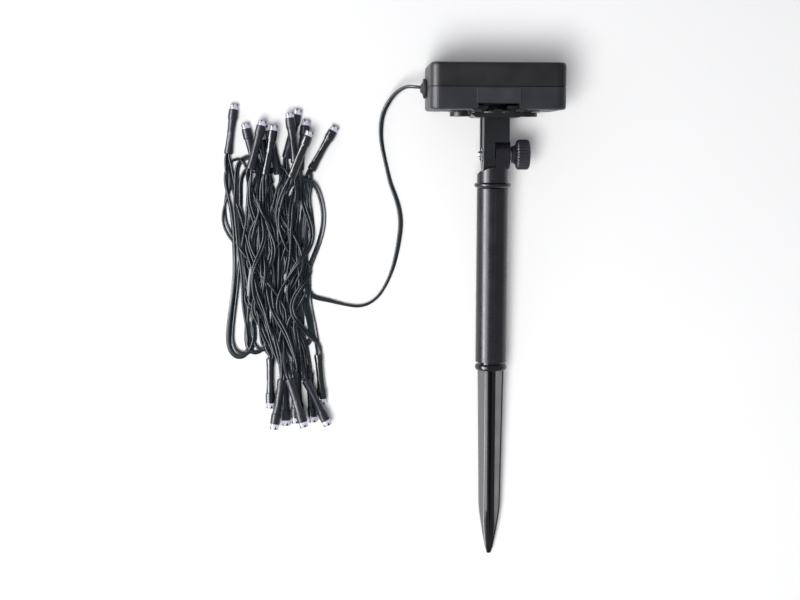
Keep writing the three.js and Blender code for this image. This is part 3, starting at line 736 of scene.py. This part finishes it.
def twin_section(sides=20):
    """The outline of two round cores moulded side by side with a groove between them."""
    angles = np.linspace(0, 2 * math.pi, sides, endpoint=False)
    lobe = LEAD_THICK / 2
    centre = LEAD_WIDTH / 2 - lobe
    x = np.cos(angles) * lobe + np.sign(np.round(np.cos(angles), 6)) * centre
    y = np.sin(angles) * lobe
    groove = np.abs(np.cos(angles)) < 0.2
    y[groove] *= 0.45
    return np.column_stack([x, y])


def make_lead(line):
    """The flat twin lead, which turns over slowly as it goes."""
    reach = np.linspace(0, length_of(line), len(line))
    keys = [0, 0.012, 0.035, 0.06, 0.10, 0.13, 0.16, 0.19, 0.26, 0.34, 0.5, 0.8, 1.1, 1.4, 1.7, 2.0]
    turns = [90, 80, 35, 70, 20, 75, 100, 15, 60, 10, 100, 40, 170, 90, 200, 160]
    angles = np.radians(np.interp(reach, keys, turns))
    weights = np.ones(9) / 9
    angles = np.convolve(np.pad(angles, 4, mode="edge"), weights, mode="valid")
    half_height = LEAD_THICK / 2 + (LEAD_WIDTH - LEAD_THICK) / 2 * np.abs(np.sin(angles))
    line = line.copy()
    height = np.where(line[:, 2] < 1.65 * MM, half_height + 0.05 * MM, line[:, 2])
    for _ in range(3):
        height = np.maximum(height, half_height + 0.02 * MM)
        height = np.convolve(np.pad(height, 5, mode="edge"), np.ones(11) / 11, mode="valid")
    fade = np.clip(np.minimum(reach, reach[-1] - reach) / 0.012, 0, 1)
    height = line[:, 2] + fade * (height - line[:, 2])
    line[:, 2] = np.maximum(height, half_height + 0.02 * MM)
    rings = twisted_sweep(line, twin_section(), angles)
    lead = skin("lead_twin_cable", rings, place=None)
    hand_over(lead, "solar_head", CABLE, "cable_pvc", "lead_cable")
    return lead, line


def make_span(number, line):
    """Two wires that wind slowly round each other from one lamp to the next."""
    share = np.linspace(0, 1, len(line))
    half_turns = rng.integers(2, 6) * rng.choice([-1, 1])
    wander = 0.5 * np.sin(share * math.pi) * np.sin(share * 9 + rng.uniform(0, 6))
    angles = math.pi / 2 + math.pi * half_turns * share + wander
    gap = WIRE / 2 * (1.04 + 0.5 * np.sin(share * math.pi) * rng.random())
    level, upright = side_frames(line)
    aside = level * np.cos(angles)[:, None] + upright * np.sin(angles)[:, None]
    sides = np.linspace(0, 2 * math.pi, 10, endpoint=False)
    section = np.column_stack([np.cos(sides), np.sin(sides)]) * WIRE / 2
    vertices, faces = [], []
    for sign in (-1, 1):
        wire = line + sign * aside * gap[:, None]
        wire[:, 2] = np.maximum(wire[:, 2], WIRE / 2 + 0.02 * MM)
        rings = twisted_sweep(wire, section, np.zeros(len(line)))
        shift = len(vertices)
        vertices.extend(rings.reshape(-1, 3))
        faces.extend(tuple(i + shift for i in face) for face in skin_faces(len(line), len(section)))
    span = new_piece(f"string_span_{number:02d}", vertices, faces)
    hand_over(span, "solar_head", CABLE, "cable_pvc", *(["string_hank"] if number == 1 else []))
    return span


# ---- lamps: their shape ----------------------------------------------------------------------
GLOSSY_LAMPS = {4, 5, 9, 10, 12, 17, 19}


def lamp_place(tip, axis):
    """A matrix that takes a lamp drawn in mm along z, tip at 0, to where it lies."""
    level = Vector((0, 0, 1)).cross(Vector(axis)).normalized()
    place = Matrix.Identity(4)
    for column, direction in enumerate((level, Vector(axis).cross(level), Vector(axis))):
        place.col[column] = (*(direction * MM), 0)
    place.translation = Vector(tip)
    return place


def make_lamp(number):
    """A lamp: its shrunk sleeve, and the clear LED with the chip in its cup."""
    node = LAMP_NODES[number - 1]
    place = lamp_place(*LAMPS[number - 1])
    own = np.random.default_rng(100 + number)
    profile = eased([
        [2.3, LED_LENGTH + 0.4], [2.62, LED_LENGTH], [2.78, LED_LENGTH + 0.5],
        [2.88, LED_LENGTH + 3.4], [2.86, LED_LENGTH + 5.6], [2.42, LED_LENGTH + 6.2],
        [2.34, 16], [2.4, LAMP_LENGTH - 4.6], [2.68, LAMP_LENGTH - 0.7], [2.52, LAMP_LENGTH],
        [2.1, LAMP_LENGTH], [1.95, LAMP_LENGTH - 3.5], [0, LAMP_LENGTH - 3.5],
    ], 0.45)
    angles = np.linspace(0, 2 * math.pi, 40, endpoint=False)
    lean = own.uniform(0, math.pi)
    phases = own.uniform(0, 6.28, 4)
    rings = [np.column_stack([np.zeros(40), np.zeros(40), np.full(40, LED_LENGTH + 0.4)])]
    for radius, height in profile:
        # The film shrinks flatter over the legs in the middle of the sleeve, with soft dents.
        middle = math.exp(-((height - 18) / 6.5) ** 2) if radius > 2.2 else 0
        flat = 1 - 0.1 * middle * (0.5 + 0.5 * np.cos(2 * (angles - lean)))
        dents = 0.035 * middle * (np.sin(3 * angles + height * 0.9 + phases[0])
                                  + np.sin(5 * angles - height * 1.7 + phases[1]))
        reach = radius * (flat + dents)
        rings.append(np.column_stack([reach * np.cos(angles), reach * np.sin(angles),
                                      np.full(40, height)]))
    glossy = number in GLOSSY_LAMPS
    sleeve = skin(f"lamp_{number:02d}_sleeve", refine(rings), place)
    hand_over(sleeve, "solar_head", GLOSSY_SLEEVE if glossy else MATT_SLEEVE, "lamp_sleeve", node)

    led = lathe(f"lamp_{number:02d}_led", [
        [0, 1.75], [0.5, 1.45], [1.5, 0.55], [1.95, 0.06], [2.3, 0], [2.44, 0.35],
        [2.44, LED_LENGTH + 1.6], [0, LED_LENGTH + 1.6],
    ], segments=40, ease=0.25, place=place)
    map_led(led, place)
    hand_over(led, "solar_head", LED, "led_resin")
    cup = lathe(f"lamp_{number:02d}_chip", [
        [0, 2.55], [0.55, 2.5], [0.62, 2.62], [0.95, 2.3], [1.05, 2.34], [0.8, 2.95], [0.62, 4.2],
        [0, 4.2],
    ], segments=20, ease=0.05, place=place)
    hand_over(cup, "solar_head", PHOSPHOR, "led_resin")
    return [sleeve, led, cup]


def map_led(led, place):
    """UVs on a lamp's resin: the share of a turn, and the distance from its hollow's middle, mm."""
    back = place.inverted()
    layer = led.data.uv_layers.new(name="UVMap")
    for loop in led.data.loops:
        x, y, z = back @ led.data.vertices[loop.vertex_index].co
        radius = math.hypot(x, y)
        reach = radius if z < 1.8 and radius < 2.35 else 2.35 + z
        layer.data[loop.index].uv = (math.atan2(y, x) / (2 * math.pi) + 0.5, reach)


def refine(rings, step=0.8):
    """Adds rings between those that stand more than a step apart."""
    fine = [rings[0]]
    for before, after in zip(rings, rings[1:]):
        count = max(1, int(abs(after[0, 2] - before[0, 2]) / step))
        for t in np.linspace(0, 1, count + 1)[1:]:
            fine.append(before + (after - before) * t)
    return fine


def make_grommet():
    """The strain relief: a thin flange against the case, then a short neck round the lead."""
    face = -HEAD_SIZE[0] / 2
    grommet = lathe("cable_strain_relief", [
        [0, face - 3.6], [1.95, face - 3.6], [2.5, face - 3.0], [3.4, face - 2.25, 0.3],
        [5.3, face - 1.95], [5.55, face - 1.65], [5.55, face - GAP], [2.9, face - GAP],
        [2.9, face + WALL + GAP], [4.2, face + WALL + GAP],
        [4.2, face + WALL + 1.3], [0, face + WALL + 1.3],
    ], "x", (0, GROMMET_Y, SEAM), segments=56, ease=0.2)
    return hand_over(grommet, "solar_head", SEAL, "seal_rubber", "cable_grommet")


def make_cords_and_lamps():
    lead_line, span_lines = lay_cords()
    grommet = make_grommet()
    lead, lead_path = make_lead(lead_line)
    lamps = {number: make_lamp(number) for number in STRING_ORDER}
    for number, line in enumerate(span_lines, 1):
        span = make_span(number, line)


make_cords_and_lamps()


# ---- floor and light -------------------------------------------------------------------------
def make_floor():
    half = 4.0
    rings = [[(-half, -half, z), (half, -half, z), (half, half, z), (-half, half, z)]
             for z in (-0.02, -0.0002)]
    floor = skin("floor", rings, place=None)
    floor.data.materials.append(surface("floor", (0.86, 0.86, 0.86), 0.8, patch=200, shade=0.01,
                                        grain=2, depth=0.002))


def area_light(name, place, aim, size, power, colour=(1, 1, 1)):
    data = bpy.data.lights.new(name, "AREA")
    data.shape = "RECTANGLE"
    data.size, data.size_y = size
    data.energy = power
    data.color = colour
    light = bpy.data.objects.new(name, data)
    light.location = place
    light.rotation_mode = "QUATERNION"
    light.rotation_quaternion = (Vector(aim) - Vector(place)).to_track_quat("-Z", "Y")
    collection.objects.link(light)
    return light


def make_light():
    world = bpy.data.worlds.new("studio")
    world.use_nodes = True
    world.node_tree.nodes["Background"].inputs["Color"].default_value = (0.96, 0.97, 1.0, 1)
    world.node_tree.nodes["Background"].inputs["Strength"].default_value = 0.35
    bpy.context.scene.world = world
    # The overhead box only fills; it is kept out of reflections, as a tent's black ceiling would.
    overhead = area_light("overhead", (-0.26, -0.26, 1.1), (-0.04, 0.02, 0), (0.42, 0.42), 13)
    overhead.visible_glossy = False
    # The left lights only make the long highlights on the glossy plastic; they cast no shadow.
    cool = (0.96, 0.96, 1.0)
    for light in (area_light("left_box", (-0.90, -0.05, 0.61), (0, -0.05, 0), (1.4, 0.86), 22, cool),
                  area_light("left_strip", (-0.85, -0.05, 0.46), (0, -0.05, 0), (1.4, 0.2), 14, cool)):
        light.visible_diffuse = False
    bpy.context.scene.view_settings.view_transform = "Standard"


make_floor()
make_light()

# ---- the head ----------------------------------------------------------------------------------
def refined(name, node, body, material, slot, width=0.25):
    """A copy of a CAD part with its flat faces whole and small moulded radii on its edges."""
    mesh = frame["nodes"][node].data.copy()
    mesh.name = name
    shape = bmesh.new()
    shape.from_mesh(mesh)
    bmesh.ops.dissolve_limit(shape, angle_limit=math.radians(0.6), verts=shape.verts,
                             edges=shape.edges)
    shape.to_mesh(mesh)
    shape.free()
    obj = bpy.data.objects.new(name, mesh)
    collection.objects.link(obj)
    return hand_over(round_edges(obj, width), body, material, slot, node)


def make_cover():
    """The upper half of the case, with the frame round the solar panel."""
    edge = (HEAD_SIZE[0] - PANEL_SIZE[0]) / 2 - GAP
    cover = slab("case_cover", HEAD_SIZE, HEAD_CORNER, [
        [WALL, HEAD_TOP - 3.8], [WALL, SEAM + 1.1], [WALL - 0.4, SEAM + GAP / 2], [0, SEAM + GAP / 2, 0.35],
        [0, HEAD_TOP, 2.4], [edge, HEAD_TOP, 0.3], [edge, HEAD_TOP - 2.2],
    ], 0.3)
    posts = [rod(3, HEAD_BOTTOM + 5.1, HEAD_TOP - 3.5, at=place) for place in SCREW_PLACES]
    join(cover, *posts)
    pilots = [rod(1.6, HEAD_BOTTOM + 4, HEAD_TOP - 8, at=place) for place in SCREW_PLACES]
    cable_way = rod(3.2, -HEAD_SIZE[0] / 2 - 1, -HEAD_SIZE[0] / 2 + WALL + 1, "x", (GROMMET_Y, SEAM))
    cut(cover, cable_way, rod(1.6, HEAD_TOP - 6, HEAD_TOP, at=(18, 15)), *pilots)
    return hand_over(level_shading(cover), "solar_head", HOUSING, "housing_plastic", "top_cover")


def make_panel():
    """The laminated solar panel: clear resin over the cells, with its UV map in mm."""
    panel = slab("solar_laminate_panel", PANEL_SIZE, 1.8, [
        [0, HEAD_TOP - 1.9], [0, HEAD_TOP - 0.2, 0.5], [3, HEAD_TOP - 0.2],
    ], 0.3)
    back = UPRIGHT.inverted()
    layer = panel.data.uv_layers.new(name="UVMap")
    for loop in panel.data.loops:
        x, y, _ = back @ panel.data.vertices[loop.vertex_index].co
        layer.data[loop.index].uv = (x, y)
    return hand_over(panel, "solar_head", PANEL, "solar_laminate", "solar_panel")


def make_base():
    """The lower half of the case, and the raised pad over its bracket slot."""
    refined("case_base", "base_shell", "solar_head", BASE, "housing_plastic", 0.22)
    front = -HEAD_SIZE[1] / 2
    pad = block((-12, front - 0.4, SLOT_TOP + GAP), (12, front + 0.6, SEAM - 0.7))
    pad.name = "case_pad"
    hand_over(round_edges(pad, 0.3), "solar_head", PAD, "housing_plastic")


def make_screw(name, node, body, place, top, head, shank, tip):
    """A pan-head screw seen from below, with a cross recess and a thread of fine grooves."""
    profile = [[0, top], [head * 0.55, top + 0.02], [head, top + 0.75], [head, top + 1.5, 0.1],
               [shank, top + 1.6, 0.1]]
    height = top + 2.4
    while height < tip - 1.2:
        profile += [[shank, height, 0.1], [shank - 0.28, height + 0.28, 0.1]]
        height += 0.7
    profile += [[shank, height, 0.1], [0.3, tip], [0, tip]]
    screw = lathe(name, profile, at=(*place, 0), segments=32, ease=0.3)
    arms = [block((place[0] - a, place[1] - b, top - 1), (place[0] + a, place[1] + b, top + 0.85))
            for a, b in ((head * 0.55, 0.24), (0.24, head * 0.55))]
    cut(screw, *arms)
    return hand_over(level_shading(screw), body, STEEL, "plated_steel", node)


def make_button(name, node, body, x):
    """A soft button with a shallow dish and a ring round it."""
    low = HEAD_BOTTOM
    button = lathe(name, [
        [0, low - 0.45], [1.2, low - 0.5], [1.7, low - 0.62], [2.1, low - 0.62], [2.5, low - 0.5],
        [3.25, low + 0.1], [3.3, low + 2.3], [4.6, low + 2.3, 0.1], [4.6, low + 3, 0.1],
        [1.4, low + 3, 0.1], [1.4, low + 3.8, 0.1], [0, low + 3.8],
    ], at=(x, BUTTON_PLACE[1], 0), segments=48, ease=0.4)
    return hand_over(button, body, RUBBER, "button_rubber", node)


def make_door():
    """The battery door, with a row of grip ribs near its free end."""
    refined("battery_hatch", "battery_door", "battery_door", BASE, "housing_plastic", 0.2)
    ribs = []
    for number in range(6):
        x = -23.5 + 1.5 * number
        rib = block((x, 14.6, HEAD_BOTTOM - 0.32), (x + 0.7, 24.0, HEAD_BOTTOM + 0.3))
        ribs.append(round_edges(rib, 0.18))
    grip = ribs[0]
    join(grip, *ribs[1:])
    grip.name = "battery_hatch_grip"
    hand_over(level_shading(grip), "battery_door", BASE, "housing_plastic")


def make_head():
    make_cover()
    make_panel()
    make_base()
    make_door()
    for number, place in enumerate(SCREW_PLACES, 1):
        make_screw(f"case_screw_{number}_cross", f"case_screw_{number}", "solar_head", place,
                   HEAD_BOTTOM + 0.4, 2.6, 1.3, HEAD_BOTTOM + 13.6)
    make_screw("hatch_screw_cross", "battery_door_screw", "battery_door", (27.6, 18.5),
               HEAD_BOTTOM - 1.0, 1.9, 0.85, HEAD_BOTTOM + 3.9)
    make_button("power_button_cap", "power_button", "power_button", -BUTTON_PLACE[0])
    make_button("mode_button_cap", "mode_button", "mode_button", BUTTON_PLACE[0])


# ---- the stake and its joint -------------------------------------------------------------------
def make_tube():
    tube = lathe("pole_extrusion", [
        [TUBE_BORE, TUBE_BOTTOM], [TUBE_RADIUS, TUBE_BOTTOM, 0.35], [TUBE_RADIUS, TUBE_TOP, 0.35],
        [TUBE_BORE, TUBE_TOP], [TUBE_BORE, (TUBE_BOTTOM + TUBE_TOP) / 2],
    ], segments=96, ease=0.2, hollow=True, seams=POLE_SEAMS)
    return hand_over(tube, "tube", POLE, "pole_plastic", "pole_tube")


def make_ferrule():
    """The fitting on top of the tube: a plug, a flange, and the ear that the bolt clamps."""
    flange = TUBE_TOP + GAP
    barrel = lathe("pole_fitting", [
        [0, flange - 4], [PLUG_BORE, flange - 4, 0.2], [PLUG_BORE, 189, 0.2], [PLUG_RADIUS - 0.8, 189, 0.2],
        [PLUG_RADIUS, 190, 0.3], [PLUG_RADIUS, flange, 0.2], [TUBE_RADIUS + 0.3, flange, 0.2],
        [10.35, flange + 1.1], [10.35, flange + 2.3], [TUBE_RADIUS, flange + 2.9, 0.3],
        [TUBE_RADIUS, PIVOT, 0.1], [0, PIVOT],
    ], segments=96, ease=0.6, seams=POLE_SEAMS)
    cut(barrel, rod(SADDLE, -12, EAR_SIDES[0], "x", (0, PIVOT), 96))
    ear = lathe("tool", [
        [0, EAR_SIDES[0]], [KNUCKLE, EAR_SIDES[0], 0.45], [KNUCKLE, EAR_SIDES[1], 0.6],
        [5.4, EAR_SIDES[1], 0.2], [5.2, EAR_SIDES[1] - 0.35, 0.2], [0, EAR_SIDES[1] - 0.35],
    ], "x", (0, 0, PIVOT), segments=72, ease=0.2)
    join(barrel, ear)
    cut(barrel, rod(2.3, -2, 12, "x", (0, PIVOT)))
    return hand_over(level_shading(barrel), "ferrule", FITTING, "fitting_plastic", "pole_ferrule")


def make_knob():
    """The thumb knob: a neck, a cone and a head with fine ribs all round."""
    neck, shoulder, end = KNOB_FROM, KNOB_FROM + 2.7, KNOB_FROM + 10.1
    around = np.linspace(0, 2 * math.pi, KNOB_RIBS * 8, endpoint=False)
    profile = eased([
        [0, neck], [4.8, neck, 0.3], [4.8, neck + 1.2, 0.5], [5.6, shoulder - 0.5, 0.6],
        [7.5, shoulder, 0.5], [8.4, shoulder + 1.0, 0.5], [8.4, end - 1.0, 0.5], [7.3, end, 0.6],
        [5.9, end, 0.4], [5.3, end - 0.7, 0.4], [0, end - 0.7],
    ], 0.4)
    rings = []
    for radius, x in profile:
        ribbed = min(max((radius - 7.2) / 0.9, 0), 1)
        reach = radius - ribbed * 0.62 * np.abs(np.sin(around * KNOB_RIBS / 2)) ** 3
        rings.append(np.column_stack([np.full(len(around), x), reach * np.cos(around),
                                      reach * np.sin(around) + PIVOT]))
    knob = skin("knob_grip", rings)
    return hand_over(smooth(knob, 60), "knob", KNOB, "knob_plastic", "thumb_knob")


def make_bolt():
    """The clamp bolt: a domed end, and a thread where the nut grips it."""
    tip, neck = -9.0, KNOB_FROM + 4.3
    profile = [[0, tip], [0.9, tip + 0.1, 0.4], [1.65, tip + 0.6, 0.5], [1.9, tip + 1.5, 0.4]]
    x = tip + 2.7
    while x < -1.5:
        profile += [[1.95, x, 0.08], [1.62, x + 0.35, 0.08]]
        x += 0.7
    profile += [[1.95, x, 0.1], [1.95, neck], [0, neck]]
    bolt = lathe("bolt_threaded", profile, "x", (0, 0, PIVOT), segments=32, ease=0.1)
    return hand_over(bolt, "knob", STEEL, "plated_steel", "clamp_bolt")


def fin_section(reach):
    """A plus-shaped outline with round fin ends and filleted roots; reach is the fins' half width."""
    half = min(FIN_THICKNESS / 2, 0.8 * reach)
    tip = 0.55 * half
    root = min(2.2, max(0.15, 0.6 * (reach - half)))
    points = []
    for quarter in range(4):
        turn = quarter * math.pi / 2
        quadrant = [(reach - tip + tip * math.sin(a), half - tip + tip * math.cos(a))
                    for a in np.linspace(math.pi / 2, 0, 5)]
        quadrant += [(half + root - root * math.sin(a), half + root - root * math.cos(a))
                     for a in np.linspace(0, math.pi / 2, 7)]
        quadrant += [(half - tip + tip * math.cos(a), reach - tip + tip * math.sin(a))
                     for a in np.linspace(0, math.pi / 2, 5)]
        for x, y in quadrant:
            points.append((x * math.cos(turn) - y * math.sin(turn),
                           x * math.sin(turn) + y * math.cos(turn)))
    return np.array(points)


def make_spike():
    """The ground spike: four tapering fins below a flange and the plug that the tube fits."""
    low = [(0, 0.7), (0.35, 1.15), (2.2, 1.7), (3.5, 2.2), (13, 4.1), (21.5, 5.5), (28, 6.3),
           (SPIKE_TOP + 0.4, 7.6)]
    heights = np.concatenate([[0, 0.35, 1, 2.2, 3.5, 6, 9, 13, 17, 21.5, 25, 28],
                              np.linspace(34, SPIKE_TOP + 0.4, 14)])
    reaches = np.interp(heights, *zip(*low))
    turn = math.radians(SPIKE_TURN)
    spin = np.array([[math.cos(turn), math.sin(turn)], [-math.sin(turn), math.cos(turn)]])
    rings = [np.column_stack([fin_section(reach) @ spin, np.full(68, height)])
             for reach, height in zip(reaches, heights)]
    fins = skin("spike_fins", rings)
    plug = lathe("tool", [
        [0, SPIKE_TOP], [8.4, SPIKE_TOP, 0.3], [9.1, SPIKE_TOP + 1.1], [9.1, SPIKE_TOP + 2.3],
        [8.4, SPIKE_TOP + 3.4, 0.3], [PLUG_RADIUS, SPIKE_TOP + 3.4, 0.2],
        [PLUG_RADIUS, SPIKE_TOP + 22.6, 0.3], [PLUG_RADIUS - 0.8, SPIKE_TOP + 23.6, 0.2],
        [PLUG_BORE, SPIKE_TOP + 23.6, 0.2], [PLUG_BORE, SPIKE_TOP + 5.5, 0.3], [0, SPIKE_TOP + 5.5],
    ], segments=96, ease=0.5)
    join(fins, plug)
    return hand_over(level_shading(fins), "spike", SPIKE, "spike_plastic", "ground_spike")


def make_stake():
    make_tube()
    make_ferrule()
    make_knob()
    make_bolt()
    make_spike()
    refined("bracket_moulding", "mounting_bracket", "bracket", BRACKET, "bracket_plastic", 0.28)
    refined("nut_chamfered", "hex_nut", "bracket", STEEL, "plated_steel", 0.22)
    washer = lathe("washer_pressed", [
        [2.3, 9.4], [4.6, 9.4, 0.12], [4.6, 10, 0.2], [2.3, 10, 0.12], [2.3, 9.7],
    ], "x", (0, 0, PIVOT), segments=48, ease=0.1, hollow=True)
    hand_over(washer, "washer", STEEL, "plated_steel", "clamp_washer")


make_head()
make_stake()

# ---- CAD parts that keep their shape ------------------------------------------------------------
KEPT = {
    "case_seal": SEAL, "circuit_board": BOARD, "controller_chip": CHIP, "charge_coil": FERRITE,
    "battery_cell": WRAP, "battery_spring": NICKEL, "battery_contact": NICKEL,
    "power_switch": SWITCH, "mode_switch": SWITCH,
}
for node, material in KEPT.items():
    frame["nodes"][node].data.materials.clear()
    frame["nodes"][node].data.materials.append(material)
